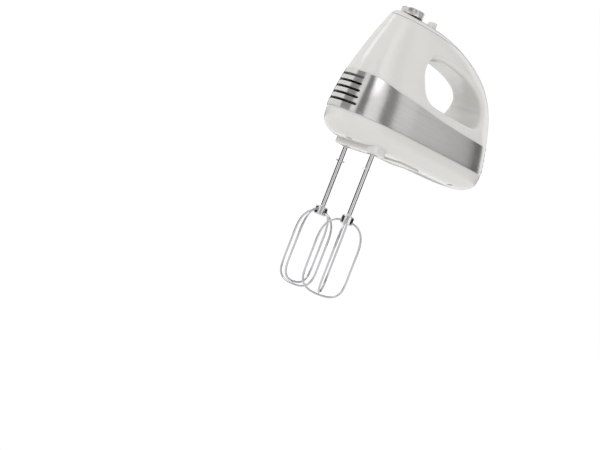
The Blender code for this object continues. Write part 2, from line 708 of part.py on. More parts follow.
def gearbox_frame(parts, tools, finish):
    """A chassis that carries the motor, its bearings and the two spindles."""
    plate = prism_z(rounded(-24.0, 24.0, -24.5, 30.0, 10.0, 3), 14.0, 17.0)
    base = place("gearbox_frame", plate, parts, finish)
    combine(base, cutter("tongue", box((-16.0, 20.0, 14.0), (16.0, 118.0, 17.0)), tools), "UNION")
    frame_wall(base, tools, -24.0, -18.0, 10.0, 51.0, 5.9)
    frame_wall(base, tools, 21.5, 27.5, 14.0, 53.0, 6.5)
    frame_wall(base, tools, 108.5, 114.5, 14.0, 53.0, 6.5)
    combine(base, cutter("cradle", box((-14.0, 55.0, 16.0), (14.0, 75.0, 19.7)), tools), "UNION")
    for x in (-BEATER_X, BEATER_X):
        hole = turned([(4.8, 5.0), (4.8, 25.0)], 18, (x, 0.0, 0.0))
        combine(base, cutter("spindle_hole", hole, tools), "DIFFERENCE")
    tidy(base)


def brushes(parts, tools, finishes):
    for side, sign in (("left", -1.0), ("right", 1.0)):
        low, high = sorted((9.6 * sign, 22.0 * sign))
        holder = box((low, 35.0, AXIS_Z - 4.0), (high, 42.0, AXIS_Z + 4.0))
        shell = place("brush_holder_" + side, holder, parts, finishes["brass"])
        inside = box((low - 1.0, 36.2, AXIS_Z - 2.9), (high + 1.0, 40.8, AXIS_Z + 2.9))
        combine(shell, cutter("brush_room", inside, tools), "DIFFERENCE")
        low, high = sorted((8.9 * sign, 18.0 * sign))
        place("carbon_brush_" + side, box((low, 36.5, AXIS_Z - 2.6), (high, 40.5, AXIS_Z + 2.6)), parts,
              finishes["carbon"])


def controls(parts, tools, finishes):
    """Dial, switch block, control board and capacitor."""
    dial = turned([(3.0, 128.0), (3.0, DIAL_LOW), (DIAL_R, DIAL_LOW + 0.01), (DIAL_R, DIAL_HIGH - 0.9),
                   (DIAL_R - 0.9, DIAL_HIGH)], 32)
    place("speed_dial", dial, parts, finishes["aluminium"])
    switch = place("speed_switch", prism_z(rounded(-11.0, 11.0, -11.0, 11.0, 2.0, 1), 114.0, 133.0), parts,
                   finishes["black"])
    combine(switch, cutter("switch_bore", turned([(3.4, 127.0), (3.4, 140.0)], 16), tools), "DIFFERENCE")
    tidy(switch)
    place("control_board", box((-14.0, -18.0, 76.0), (14.0, -16.4, 110.0)), parts, finishes["board"])
    place("suppression_capacitor", box((-9.0, -16.0, 84.0), (9.0, -7.0, 97.0)), parts, finishes["yellow"])


def wiring(parts, tools, finishes):
    """Terminal block behind the cord inlet."""
    block = place("terminal_block", box((-9.0, 139.0, 60.0), (9.0, 147.0, 69.0)), parts, finishes["black"])
    for x in (-4.5, 4.5):
        hole = turned([(1.6, 130.0), (1.6, 160.0)], 10, (x, 0.0, 65.0), "Y")
        combine(block, cutter("terminal_hole", hole, tools), "DIFFERENCE")
    tidy(block)


def ejector(parts, tools, finishes):
    """A thumb button over a fork whose two pins push on the beaters' shafts."""
    button = [(EJECT_Y - 4.5, 141.0), (EJECT_Y + 4.5, 141.0), (EJECT_Y + 4.5, EJECT_TOP - 0.8),
              (EJECT_Y + 3.5, EJECT_TOP), (EJECT_Y - 0.8, EJECT_TOP), (EJECT_Y - 4.5, 146.0)]
    place("eject_button", prism_x(button, 4.0), parts, finishes["white"])
    fork = place("ejector_fork", box((-2.5, STEM_Y - 2.5, FORK_LOW), (2.5, STEM_Y + 2.5, 140.7)), parts,
                 finishes["nylon"])
    top = box((-2.2, STEM_Y, 136.7), (2.2, EJECT_Y + 4.0, 140.4))
    arm = box((-2.8, -2.0, FORK_LOW - 0.1), (2.8, STEM_Y, FORK_LOW + 3.9))
    bar = box((-22.0, -3.0, FORK_LOW - 0.2), (22.0, 3.0, FORK_LOW + 4.1))
    for label, bm in (("fork_top", top), ("fork_arm", arm), ("fork_bar", bar)):
        combine(fork, cutter(label, bm, tools), "UNION")
    for x in (-BEATER_X, BEATER_X):
        pin = turned([(1.7, SHAFT_TOP + 0.4), (1.7, FORK_LOW + 2.0)], 12, (x, 0.0, 0.0))
        combine(fork, cutter("pin", pin, tools), "UNION")
    seat = box((-5.2, STEM_Y - 5.2, SPRING_HIGH + 0.8), (5.2, STEM_Y + 5.2, SPRING_HIGH + 2.8))
    combine(fork, cutter("fork_seat", seat, tools), "UNION")
    tidy(fork)


def spring(parts, finish):
    """The return spring around the fork's stem, between the shelf below and the fork's seat."""
    turns = 4
    around = 12
    name = "eject_spring"
    curve = bpy.data.curves.new(name, "CURVE")
    curve.dimensions = "3D"
    curve.bevel_depth = 0.45 * MM
    curve.bevel_resolution = 0
    curve.use_fill_caps = True
    spline = curve.splines.new("POLY")
    count = turns * around
    spline.points.add(count)
    for i, point in enumerate(spline.points):
        angle = 2.0 * math.pi * i / around
        point.co = (4.6 * math.cos(angle) * MM, (STEM_Y + 4.6 * math.sin(angle)) * MM,
                    (SPRING_LOW + (SPRING_HIGH - SPRING_LOW) * i / count) * MM, 1.0)
    shape = bpy.data.objects.new(name + "_curve", curve)
    parts.objects.link(shape)
    graph = bpy.context.evaluated_depsgraph_get()
    mesh = bpy.data.meshes.new_from_object(shape.evaluated_get(graph))
    bpy.data.objects.remove(shape, do_unlink=True)
    mesh.name = name
    mesh.materials.clear()
    mesh.materials.append(finish)
    made = bpy.data.objects.new(name, mesh)
    parts.objects.link(made)
    tidy(made)
    bm = bmesh.new()
    bm.from_mesh(mesh)
    bmesh.ops.recalc_face_normals(bm, faces=bm.faces)
    bm.to_mesh(mesh)
    bm.free()


def spring_bracket(parts, tools, finish):
    """A fixed shelf under the return spring, which also guides the fork's stem."""
    shelf = place("spring_bracket", box((-23.0, -2.0, 89.0), (23.0, 20.5, 92.0)), parts, finish)
    guide = box((-6.0, STEM_Y - 6.0, 91.0), (6.0, STEM_Y + 6.0, SPRING_LOW - 0.8))
    combine(shelf, cutter("spring_post", guide, tools), "UNION")
    hole = box((-2.9, STEM_Y - 2.9, 80.0), (2.9, STEM_Y + 2.9, 120.0))
    combine(shelf, cutter("stem_hole", hole, tools), "DIFFERENCE")
    tidy(shelf)


def screws(parts, finish):
    for label, x, y, floor, web in POSTS:
        steps = [(2.2, 12.2), (3.0, 12.6), (3.0, 14.7), (1.0, 14.71), (1.0, 45.0), (0.3, 46.5)]
        place("housing_screw_" + label, turned(steps, 12, (x, y, 0.0)), parts, finish)


def finishes():
    return {
        "white": material("gloss_white", (0.86, 0.86, 0.84), 0.25, 0.0),
        "shell": material("lower_white", (0.84, 0.84, 0.82), 0.28, 0.0),
        "steel": material("ground_steel", (0.6, 0.6, 0.62), 0.25, 1.0),
        "chrome": material("polished_chrome", (0.8, 0.8, 0.82), 0.08, 1.0),
        "copper": material("copper", (0.72, 0.42, 0.26), 0.3, 1.0),
        "winding": material("enamelled_copper", (0.5, 0.22, 0.1), 0.4, 1.0),
        "iron": material("laminated_iron", (0.3, 0.3, 0.32), 0.5, 1.0),
        "bronze": material("sintered_bronze", (0.6, 0.45, 0.25), 0.5, 1.0),
        "brass": material("brass", (0.75, 0.6, 0.3), 0.3, 1.0),
        "carbon": material("carbon", (0.04, 0.04, 0.04), 0.7, 0.0),
        "black": material("black_plastic", (0.03, 0.03, 0.03), 0.5, 0.0),
        "grey": material("grey_plastic", (0.35, 0.35, 0.36), 0.5, 0.0),
        "fan": material("fan_plastic", (0.12, 0.12, 0.13), 0.5, 0.0),
        "nylon": material("white_nylon", (0.8, 0.78, 0.7), 0.45, 0.0),
        "board": material("circuit_board", (0.05, 0.22, 0.1), 0.5, 0.0),
        "yellow": material("yellow_film", (0.75, 0.6, 0.1), 0.4, 0.0),
        "aluminium": material("brushed_aluminium", (0.75, 0.75, 0.76), 0.25, 1.0),
        "band": material("brushed_steel", (0.62, 0.62, 0.63), 0.28, 1.0),
        "wire": material("steel_wire", (0.7, 0.7, 0.72), 0.12, 1.0),
    }


def build():
    clear_file()
    parts = new_collection("hand_mixer")
    tools = new_collection("cutters")
    used = finishes()
    main_housing(parts, tools, used["white"])
    top_cover(parts, tools, used["white"].copy())
    lower_housing(parts, tools, used["shell"])
    steel_band(parts, tools, used["band"])
    rear_grille(parts, tools, used["shell"].copy())
    cord_gland(parts, used["grey"])
    beater("left", -BEATER_X, LEFT_TURN, parts, tools, used["chrome"], used["wire"])
    beater("right", BEATER_X, RIGHT_TURN, parts, tools, used["chrome"].copy(), used["wire"].copy())
    worm_gear("worm_gear_left", -BEATER_X, 0.0, parts, tools, used["nylon"])
    worm_gear("worm_gear_right", BEATER_X, 180.0 + 180.0 / TEETH, parts, tools, used["nylon"].copy())
    rotor(parts, tools, used)
    stator(parts, tools, used)
    bearings(parts, used)
    gearbox_frame(parts, tools, used["grey"].copy())
    brushes(parts, tools, used)
    controls(parts, tools, used)
    ejector(parts, tools, used)
    spring(parts, used["steel"].copy())
    spring_bracket(parts, tools, used["black"].copy())
    wiring(parts, tools, used)
    screws(parts, used["steel"].copy())
    own_materials(parts)
    for name, point in SEATS:
        seat(name, point)
    for side in ("left", "right"):
        hang("beater_loop_outer_" + side, "beater_shaft_" + side)
        hang("beater_loop_inner_" + side, "beater_shaft_" + side)
    for name in ("commutator", "armature_core", "armature_winding_front", "armature_winding_rear",
                 "cooling_fan"):
        hang(name, "motor_shaft")
    for made in parts.objects:
        if made.parent is None:
            made.location = made.location - Vector(GRIP) * MM


def seat(name, point):
    """Puts an object's own origin at a point of its joint axis."""
    made = bpy.data.objects[name]
    at = Vector(point) * MM
    made.data.transform(Matrix.Translation(-at))
    made.location = at


def hang(name, parent):
    """Parents one object to another without moving it."""
    made = bpy.data.objects[name]
    above = bpy.data.objects[parent]
    made.location = made.location - above.location
    made.parent = above


def own_materials(parts):
    """Gives every object a material of its own."""
    for made in parts.objects:
        own = made.data.materials[0].copy()
        own.name = made.name
        made.data.materials.clear()
        made.data.materials.append(own)


build()
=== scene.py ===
"""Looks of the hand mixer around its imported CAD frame: shells, band, dial, beaters, finishes and studio.

Shapes are drawn in millimetres from a working zero on the boss's underside, midway between the beaters.
"""
import json
import math

import bmesh
import bpy
import numpy as np
from mathutils import Matrix, Vector


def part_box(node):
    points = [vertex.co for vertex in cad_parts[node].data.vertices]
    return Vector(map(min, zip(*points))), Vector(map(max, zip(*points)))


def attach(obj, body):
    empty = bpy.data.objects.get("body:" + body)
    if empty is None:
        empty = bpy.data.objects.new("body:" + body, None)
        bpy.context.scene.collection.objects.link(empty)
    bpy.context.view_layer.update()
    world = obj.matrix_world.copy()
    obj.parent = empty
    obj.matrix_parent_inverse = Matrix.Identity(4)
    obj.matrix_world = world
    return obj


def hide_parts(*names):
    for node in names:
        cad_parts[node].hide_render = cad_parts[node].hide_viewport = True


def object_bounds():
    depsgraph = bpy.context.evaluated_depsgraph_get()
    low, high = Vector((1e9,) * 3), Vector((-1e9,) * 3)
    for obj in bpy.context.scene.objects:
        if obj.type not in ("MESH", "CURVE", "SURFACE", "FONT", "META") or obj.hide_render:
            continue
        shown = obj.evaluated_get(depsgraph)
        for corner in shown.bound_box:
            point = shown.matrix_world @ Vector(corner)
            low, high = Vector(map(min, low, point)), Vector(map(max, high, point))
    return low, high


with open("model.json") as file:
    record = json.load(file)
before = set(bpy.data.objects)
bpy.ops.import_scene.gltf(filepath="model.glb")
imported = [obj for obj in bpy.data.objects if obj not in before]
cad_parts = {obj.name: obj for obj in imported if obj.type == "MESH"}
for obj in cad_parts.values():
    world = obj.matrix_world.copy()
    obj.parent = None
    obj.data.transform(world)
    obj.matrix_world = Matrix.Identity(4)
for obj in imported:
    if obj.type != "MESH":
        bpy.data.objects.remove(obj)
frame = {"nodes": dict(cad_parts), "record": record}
cad_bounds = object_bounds()

MM = 0.001
dial_low, dial_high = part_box("speed_dial")
shell_low, shell_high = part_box("lower_housing")
ZERO = Vector((0.0, (dial_low.y + dial_high.y) / 2.0, shell_low.z))

# Body skin: height, nose tip y, heel y, half width and heel corner exponent of each level section.
# The nose is rounder than the heel: it keeps one exponent all the way up, and MID_Y is where the two meet.
LEVELS = np.array((
    (5.5, -36.0, 150.0, 20.0, 3.5), (6.0, -40.5, 156.0, 24.3, 3.8), (7.0, -43.5, 160.5, 27.3, 4.0),
    (9.5, -48.5, 165.0, 30.5, 4.5), (13.0, -53.0, 169.0, 33.0, 5.0), (18.0, -56.2, 172.5, 35.0, 5.0),
    (29.0, -57.0, 174.0, 36.0, 5.0), (45.0, -55.5, 171.0, 35.3, 5.0), (61.0, -52.7, 166.5, 34.0, 5.0),
    (72.0, -50.4, 165.0, 32.3, 4.6), (85.0, -47.0, 163.4, 29.4, 4.0), (98.0, -42.7, 159.0, 26.4, 3.6),
    (110.0, -38.3, 150.5, 24.0, 3.2), (120.0, -34.0, 138.5, 22.0, 3.0), (130.0, -29.5, 118.0, 19.8, 2.8),
    (137.0, -26.7, 96.0, 17.6, 2.6), (141.0, -24.5, 78.0, 15.6, 2.5), (143.5, -21.0, 60.0, 12.6, 2.4),
    (144.5, -16.5, 50.0, 9.8, 2.3), (144.8, -11.0, 40.0, 6.5, 2.2),
))
MID_Y = 25.0
NOSE_POWER = 2.2
# Height at which the upper and lower shells part, and the gap left at a seam.
SPLIT = 33.0
SEAM = 0.35
# Outlines in (y, height): the finger opening in the handle, and the top cover's lower edge.
FINGER_HOLE = (
    (24.5, 100.0), (27.0, 88.0), (32.0, 78.0), (42.0, 71.5), (56.0, 69.5), (82.0, 69.3), (110.0, 69.5),
    (125.0, 71.5), (132.5, 78.0), (134.5, 88.0), (131.0, 98.0), (118.0, 107.0), (92.0, 114.0),
    (62.0, 116.5), (40.0, 115.5), (29.0, 110.5),
)
COVER_EDGE = (
    (-60.0, 139.0), (30.0, 139.3), (52.0, 139.0), (76.0, 138.0), (97.0, 131.5), (116.0, 123.0),
    (134.0, 113.0), (145.0, 105.0), (151.5, 97.0), (155.5, 88.0), (157.5, 80.0), (180.0, 79.0),
)
# Steel band: lower edge, upper edge in (y, height), where its ends lie, its rear corners, faces off the skin.
BAND_LOW = 29.4
BAND_TOP = ((-60.0, 70.2), (-40.0, 70.4), (-28.0, 69.0), (-9.0, 66.0), (13.0, 64.2), (36.0, 62.3),
            (67.0, 59.8), (102.0, 58.4), (127.0, 58.0), (180.0, 58.4))
BAND_END_Y = 154.0
BAND_CORNER = 3.6
BAND_INNER = 0.3
BAND_OUTER = 0.8
# Five air slots through the nose: middle height and half width of each.
SLOTS = [(37.2 + 6.8 * i, 18.5 - i) for i in range(5)]
SLOT_HEIGHT = 2.6
# Louvred panel on the heel, and the cord's inlet above it.
GRILLE_HALF = 22.0
GRILLE_LOW = 32.0
GRILLE_HIGH = 61.0
LOUVRE_PITCH = 5.8
INLET_Z = 69.0
# Screw posts in (x, y), and the hole that the ejector button moves in (x and y limits).
POSTS = {"front_left": (-9.5, -31.0), "front_right": (9.5, -31.0),
         "rear_left": (-22.0, 128.0), "rear_right": (22.0, 128.0)}
BUTTON_HOLE = (-4.4, 4.4, 28.6, 38.4)
# Beaters: distance of each from the middle, how far each is turned, and half a loop in (radius, height).
BEATER_X = 19.0
TURNS = {"left": 8.0, "right": 37.0}
WIRE_R = 1.09
LOOP_Z = -72.0
LOOP_STRETCH = 78.3 / 77.2
INNER_LIFT = 2.6
LOOP = ((4.6, 0.0), (9.0, -0.4), (13.5, -2.6), (17.2, -6.4), (19.8, -11.6), (21.2, -18.0), (21.8, -28.0),
        (21.8, -44.0), (21.8, -58.0), (21.2, -65.5), (18.6, -71.4), (13.6, -75.2), (7.0, -76.9),
        (0.0, -77.2))


def monotone(x, y, at):
    """Monotone cubic through points, so that the skin is smooth and never wider than its levels."""
    step = np.diff(x)
    slope = np.diff(y) / step
    tangent = np.zeros(len(x))
    for i in range(1, len(x) - 1):
        if slope[i - 1] * slope[i] > 0:
            a = 2 * step[i] + step[i - 1]
            b = step[i] + 2 * step[i - 1]
            tangent[i] = (a + b) / (a / slope[i - 1] + b / slope[i])
    tangent[0] = slope[0]
    tangent[-1] = slope[-1]
    k = np.clip(np.searchsorted(x, at) - 1, 0, len(step) - 1)
    t = (at - x[k]) / step[k]
    h = step[k]
    return ((1 + 2 * t) * (1 - t) ** 2 * y[k] + t * (1 - t) ** 2 * h * tangent[k]
            + t * t * (3 - 2 * t) * y[k + 1] + t * t * (t - 1) * h * tangent[k + 1])


def dense_levels():
    """The level sections, filled in so closely that straight steps between them look smooth."""
    gap = np.diff(LEVELS, axis=0)
    chord = np.sqrt(gap[:, 0] ** 2 + gap[:, 3] ** 2 + (0.3 * gap[:, 2]) ** 2)
    along = np.concatenate(([0.0], np.cumsum(chord)))
    at = np.linspace(0.0, along[-1], 1600)
    return np.stack([monotone(along, LEVELS[:, i], at) for i in range(5)], axis=1)


SKIN = dense_levels()


def level(z):
    """Nose y, heel y, half width and heel exponent at a height."""
    return [np.interp(z, SKIN[:, 0], SKIN[:, i]) for i in range(1, 5)]


def skin(angle, z, out):
    """Points of the skin at angles and heights, moved outwards; angle 0 is +X and 90 degrees the heel."""
    angle = np.asarray(angle, float)
    z = np.broadcast_to(np.asarray(z, float), angle.shape)
    nose, heel, half, square = level(z)
    c = np.cos(angle)
    s = np.sin(angle)
    power = np.where(s > 0, square, NOSE_POWER)
    length = np.where(s > 0, heel - MID_Y, MID_Y - nose) + out
    half = half + out
    reach = (np.abs(c) ** power + np.abs(s) ** power) ** (-1.0 / power)
    return np.stack([half * c * reach, MID_Y + length * s * reach, z], axis=-1)


def field(points):
    """Below zero inside the skin and above zero outside."""
    x, y, z = points[:, 0], points[:, 1], points[:, 2]
    nose, heel, half, square = level(z)
    power = np.where(y > MID_Y, square, NOSE_POWER)
    length = np.where(y > MID_Y, heel - MID_Y, MID_Y - nose)
    value = (np.abs(x) / half) ** power + (np.abs(y - MID_Y) / length) ** power
    return value ** (1.0 / power) - 1.0


def half_width(y, z):
    """How far the skin lies from the middle plane at y and z."""
    nose, heel, half, square = level(z)
    power = np.where(y > MID_Y, square, NOSE_POWER)
    length = np.where(y > MID_Y, heel - MID_Y, MID_Y - nose)
    share = np.clip(np.abs(y - MID_Y) / length, 0.0, 0.999)
    return half * (1.0 - share ** power) ** (1.0 / power)


def ring_angles(count):
    """Angles round the skin, closer together where it bends most."""
    t = 2.0 * np.pi * np.arange(count) / count
    return t - 0.16 * np.sin(2.0 * t) * np.where(np.sin(t) > 0, 1.0, 0.5)


def object_from(name, verts, faces):
    """An object from points in millimetres from the working zero."""
    mesh = bpy.data.meshes.new(name)
    placed = np.asarray(verts, float) * MM + np.array(ZERO)
    mesh.from_pydata(placed.tolist(), [], faces)
    bm = bmesh.new()
    bm.from_mesh(mesh)
    bmesh.ops.recalc_face_normals(bm, faces=bm.faces)
    bm.to_mesh(mesh)
    bm.free()
    made = bpy.data.objects.new(name, mesh)
    bpy.context.scene.collection.objects.link(made)
    return made


def loft(name, rings):
    """A closed solid through rings of equal length, each end closed by a fan."""
    count = len(rings[0])
    verts = np.concatenate([np.asarray(r, float) for r in rings])
    ends = np.stack([verts[:count].mean(axis=0), verts[-count:].mean(axis=0)])
    last = len(verts)
    verts = np.concatenate([verts, ends])
    faces = []
    for j in range(len(rings) - 1):
        a = j * count
        for i in range(count):
            k = (i + 1) % count
            faces.append((a + i, a + k, a + count + k, a + count + i))
    top = (len(rings) - 1) * count
    for i in range(count):
        k = (i + 1) % count
        faces.append((last, k, i))
        faces.append((last + 1, top + i, top + k))
    return object_from(name, verts, faces)


def turned(name, steps, count, at=(0.0, 0.0, 0.0), axis="Z"):
    """A solid of revolution through (radius, height) steps."""
    t = 2.0 * np.pi * np.arange(count) / count
    rings = []
    for radius, height in steps:
        a, b, c = radius * np.cos(t), radius * np.sin(t), np.full(count, height)
        ring = {"Z": (a, b, c), "Y": (b, c, a), "X": (c, a, b)}[axis]
        rings.append(np.stack(ring, axis=1) + np.array(at))
    return loft(name, rings)


def prism(name, outline, low, high, axis):
    """An outline extruded along X (outline in y, z), Y (outline in x, z) or Z (outline in x, y)."""
    flat = np.asarray(outline, float)
    rings = []
    for value in (low, high):
        fixed = np.full(len(flat), float(value))
        a, b = flat[:, 0], flat[:, 1]
        ring = {"X": (fixed, a, b), "Y": (a, fixed, b), "Z": (a, b, fixed)}[axis]
        rings.append(np.stack(ring, axis=1))
    verts = np.concatenate(rings)
    n = len(flat)
    faces = [(i, (i + 1) % n, n + (i + 1) % n, n + i) for i in range(n)]
    faces.append(tuple(range(n - 1, -1, -1)))
    faces.append(tuple(range(n, 2 * n)))
    return object_from(name, verts, faces)


def rounded(x0, x1, y0, y1, radius, steps):
    """Outline of a rectangle with round corners."""
    made = []
    corners = ((x1 - radius, y1 - radius, 0), (x0 + radius, y1 - radius, 90),
               (x0 + radius, y0 + radius, 180), (x1 - radius, y0 + radius, 270))
    for cx, cy, start in corners:
        for i in range(steps + 1):
            a = math.radians(start + 90.0 * i / steps)
            made.append((cx + radius * math.cos(a), cy + radius * math.sin(a)))
    return made


def smooth_loop(points, count):
    """A closed curve through the points, evenly spaced."""
    p = np.asarray(points, float)
    fine = []
    for i in range(len(p)):
        a, b, c, d = p[i - 1], p[i], p[(i + 1) % len(p)], p[(i + 2) % len(p)]
        for t in np.arange(24) / 24.0:
            fine.append(0.5 * (2 * b + (c - a) * t + (2 * a - 5 * b + 4 * c - d) * t * t
                               + (3 * b - a - 3 * c + d) * t ** 3))
    fine = np.array(fine + [fine[0]])
    gone = np.concatenate(([0.0], np.cumsum(np.linalg.norm(np.diff(fine, axis=0), axis=1))))
    at = np.linspace(0.0, gone[-1], count, endpoint=False)
    return np.stack([np.interp(at, gone, fine[:, 0]), np.interp(at, gone, fine[:, 1])], axis=1)


def combine(target, tool, operation):
    """Applies one Boolean and removes the tool."""
    step = target.modifiers.new(operation, "BOOLEAN")
    step.operation = operation
    step.solver = "EXACT"
    step.object = tool
    graph = bpy.context.evaluated_depsgraph_get()
    target.data = bpy.data.meshes.new_from_object(target.evaluated_get(graph))
    target.modifiers.clear()
    bpy.data.objects.remove(tool, do_unlink=True)


def bevelled(target, width, segments, angle=40.0):
    step = target.modifiers.new("bevel", "BEVEL")
    step.width = width * MM
    step.segments = segments
    step.limit_method = "ANGLE"
    step.angle_limit = math.radians(angle)
    graph = bpy.context.evaluated_depsgraph_get()
    target.data = bpy.data.meshes.new_from_object(target.evaluated_get(graph))
    target.modifiers.clear()


def shade(target, angle=32.0):
    target.data.shade_smooth()
    target.data.set_sharp_from_angle(angle=math.radians(angle))


def true_normals(target, reach):
    """Gives every face corner on the skin the skin's own normal, so that cuts leave no ripples."""
    mesh = target.data
    shade(target)
    count = len(mesh.loops)
    where = np.empty(len(mesh.vertices) * 3)
    mesh.vertices.foreach_get("co", where)
    where = (where.reshape(-1, 3) - np.array(ZERO)) / MM
    delta = 0.02
    base = field(where)
    slope = np.stack([field(where + np.eye(3)[i] * delta) - base for i in range(3)], axis=1) / delta
    size = np.linalg.norm(slope, axis=1) + 1e-12
    gap = np.abs(base / size)
    normal = slope / size[:, None]
    vertex = np.empty(count, int)
    mesh.loops.foreach_get("vertex_index", vertex)
    corner = np.empty(count * 3)
    mesh.corner_normals.foreach_get("vector", corner)
    corner = corner.reshape(-1, 3)
    face = np.empty(len(mesh.polygons) * 3)
    mesh.polygon_normals.foreach_get("vector", face)
    totals = np.empty(len(mesh.polygons), int)
    mesh.polygons.foreach_get("loop_total", totals)
    face = np.repeat(face.reshape(-1, 3), totals, axis=0)
    near = (gap[vertex] < reach) & ((face * normal[vertex]).sum(axis=1) > 0.94)
    corner[near] = normal[vertex][near]
    mesh.normals_split_custom_set(corner.tolist())


def skin_solid(name):
    """The whole body as one solid, without openings."""
    angles = ring_angles(220)
    rows = SKIN[np.linspace(0, len(SKIN) - 1, 130).astype(int), 0]
    return loft(name, [skin(angles, z, 0.0) for z in rows])


def cavity():
    """The hollow behind the band, seen through the slots and the louvres."""
    angles = ring_angles(90)
    rings = []
    for z in (9.0, 12.0, 17.0, 23.0, 30.0, 38.0, 46.0, 54.0, 60.0, 64.5):
        ring = skin(angles, max(z - 2.2, 5.6) if z < 25 else z, -2.4)
        ring[:, 2] = z
        rings.append(ring)
    return loft("cavity", rings)


def finger_cutter():
    """The handle opening with softly rounded edges: it flares as it meets the skin."""
    line = smooth_loop(FINGER_HOLE, 150)
    ahead = np.roll(line, -1, axis=0) - np.roll(line, 1, axis=0)
    ahead /= np.linalg.norm(ahead, axis=1)[:, None]
    out = np.stack([ahead[:, 1], -ahead[:, 0]], axis=1)
    radius = 4.2 + 3.0 * np.clip((line[:, 1] - 70.0) / 45.0, 0.0, 1.0)
    side = []
    for turn in (0, 12, 24, 36, 48, 60, 72, 82):
        a = math.radians(turn)
        spot = line + out * (radius * (1.0 - math.cos(a)))[:, None]
        wide = half_width(spot[:, 0], spot[:, 1])
        side.append(np.stack([wide - radius * (1.0 - math.sin(a)), spot[:, 0], spot[:, 1]], axis=1))
    far = side[-1].copy()
    far[:, 0] += 8.0
    far[:, 1:] += out * 2.0
    side.append(far)
    other = [ring * np.array((-1.0, 1.0, 1.0)) for ring in reversed(side)]
    return loft("finger_cutter", other + side)


def slot_cutters():
    """Blocks with round ends that cut the nose's air slots."""
    tall = SLOT_HEIGHT / 2.0
    made = []
    for z, half in SLOTS:
        outline = rounded(-half, half, z - tall, z + tall, SLOT_HEIGHT / 2.01, 6)
        made.append(prism("slot", outline, -70.0, -42.0, "Y"))
    return made


def cover_line(drop):
    """The cover's lower edge as a smooth line, dropped by a gap."""
    p = np.array(COVER_EDGE)
    gone = np.concatenate(([0.0], np.cumsum(np.linalg.norm(np.diff(p, axis=0), axis=1))))
    at = np.linspace(0.0, gone[-1], 90)
    y = monotone(gone, p[:, 0], at)
    z = monotone(gone, p[:, 1], at)
    return [(a, b - drop) for a, b in zip(y, z)]


def make_housing():
    """The upper shell with the finger opening, the slots and room for the cover and the button."""
    body = skin_solid("housing_skin")
    combine(body, finger_cutter(), "DIFFERENCE")
    over = cover_line(SEAM) + [(180.0, 200.0), (-60.0, 200.0)]
    combine(body, prism("over", over, -60, 60, "X"), "DIFFERENCE")
    combine(body, prism("under", rounded(-80, 80, -90, 220, 1, 1), -20.0, SPLIT, "Z"), "DIFFERENCE")
    combine(body, cavity(), "DIFFERENCE")
    for cut in slot_cutters():
        combine(body, cut, "DIFFERENCE")
    combine(body, prism("window", rounded(-18, 18, 35.5, 58.0, 2, 4), 150, 190, "Y"), "DIFFERENCE")
    inlet = turned("inlet", [(5.0, 0.0), (5.0, 40.0)], 48, (0.0, 150.0, INLET_Z), "Y")
    combine(body, inlet, "DIFFERENCE")
    well = prism("button_well", rounded(*BUTTON_HOLE, 1.0, 4), 135.0, 150.0, "Z")
    combine(body, well, "DIFFERENCE")
    true_normals(body, 0.03)
    return body


def make_cover():
    """The strip over the nose, the handle and down its rear, with holes for the dial and the button."""
    strip = skin_solid("cover_skin")
    below = cover_line(0.0) + [(180.0, -50.0), (-60.0, -50.0)]
    combine(strip, prism("below", below, -60, 60, "X"), "DIFFERENCE")
    combine(strip, turned("stem_hole", [(3.6, 120.0), (3.6, 150.0)], 48), "DIFFERENCE")
    combine(strip, prism("slot", rounded(*BUTTON_HOLE, 1.0, 4), 110, 150, "Z"), "DIFFERENCE")
    true_normals(strip, 0.03)
    return strip


def soft_block(name, x0, x1, y0, y1, radius, low, high, soft):
    """A rounded block whose lower edge is softened."""
    rings = []
    for turn in (0, 18, 36, 54, 72, 90):
        a = math.radians(turn)
        inset = soft * (1.0 - math.sin(a))
        z = low + soft * (1.0 - math.cos(a))
        rings.append([(x, y, z) for x, y in rounded(x0 + inset, x1 - inset, y0 + inset, y1 - inset,
                                                    radius - inset, 10)])
    rings.append([(x, y, high) for x, y in rounded(x0, x1, y0, y1, radius, 10)])
    return loft(name, rings)


def make_base():
    """The bottom shell with its boss, raised pad, screw posts and two beater mouths."""
    shell = skin_solid("base_skin")
    combine(shell, soft_block("boss", -28.5, 28.5, -13.0, 13.0, 9.0, 0.0, 13.0, 1.6), "UNION")
    combine(shell, soft_block("pad", -20.0, 20.0, 44.0, 78.0, 5.0, 3.4, 12.0, 1.2), "UNION")
    above = prism("above", rounded(-80, 80, -90, 220, 1, 1), SPLIT - SEAM, 200.0, "Z")
    combine(shell, above, "DIFFERENCE")
    combine(shell, cavity(), "DIFFERENCE")
    for x, y in POSTS.values():
        post = turned("post", [(5.2, 10.5), (5.2, 28.0)], 40, (x, y, 0.0))
        combine(shell, post, "UNION")
        steps = [(3.5, -1.0), (3.5, 15.0), (1.8, 15.1), (1.8, 31.0)]
        combine(shell, turned("bore", steps, 40, (x, y, 0.0)), "DIFFERENCE")
    for x in (-BEATER_X, BEATER_X):
        steps = [(5.6, 0.0), (5.6, 1.0), (4.6, 1.4), (4.6, 16.0)]
        combine(shell, turned("rim", steps, 56, (x, 0.0, -0.4)), "DIFFERENCE")
    true_normals(shell, 0.03)
    return shell


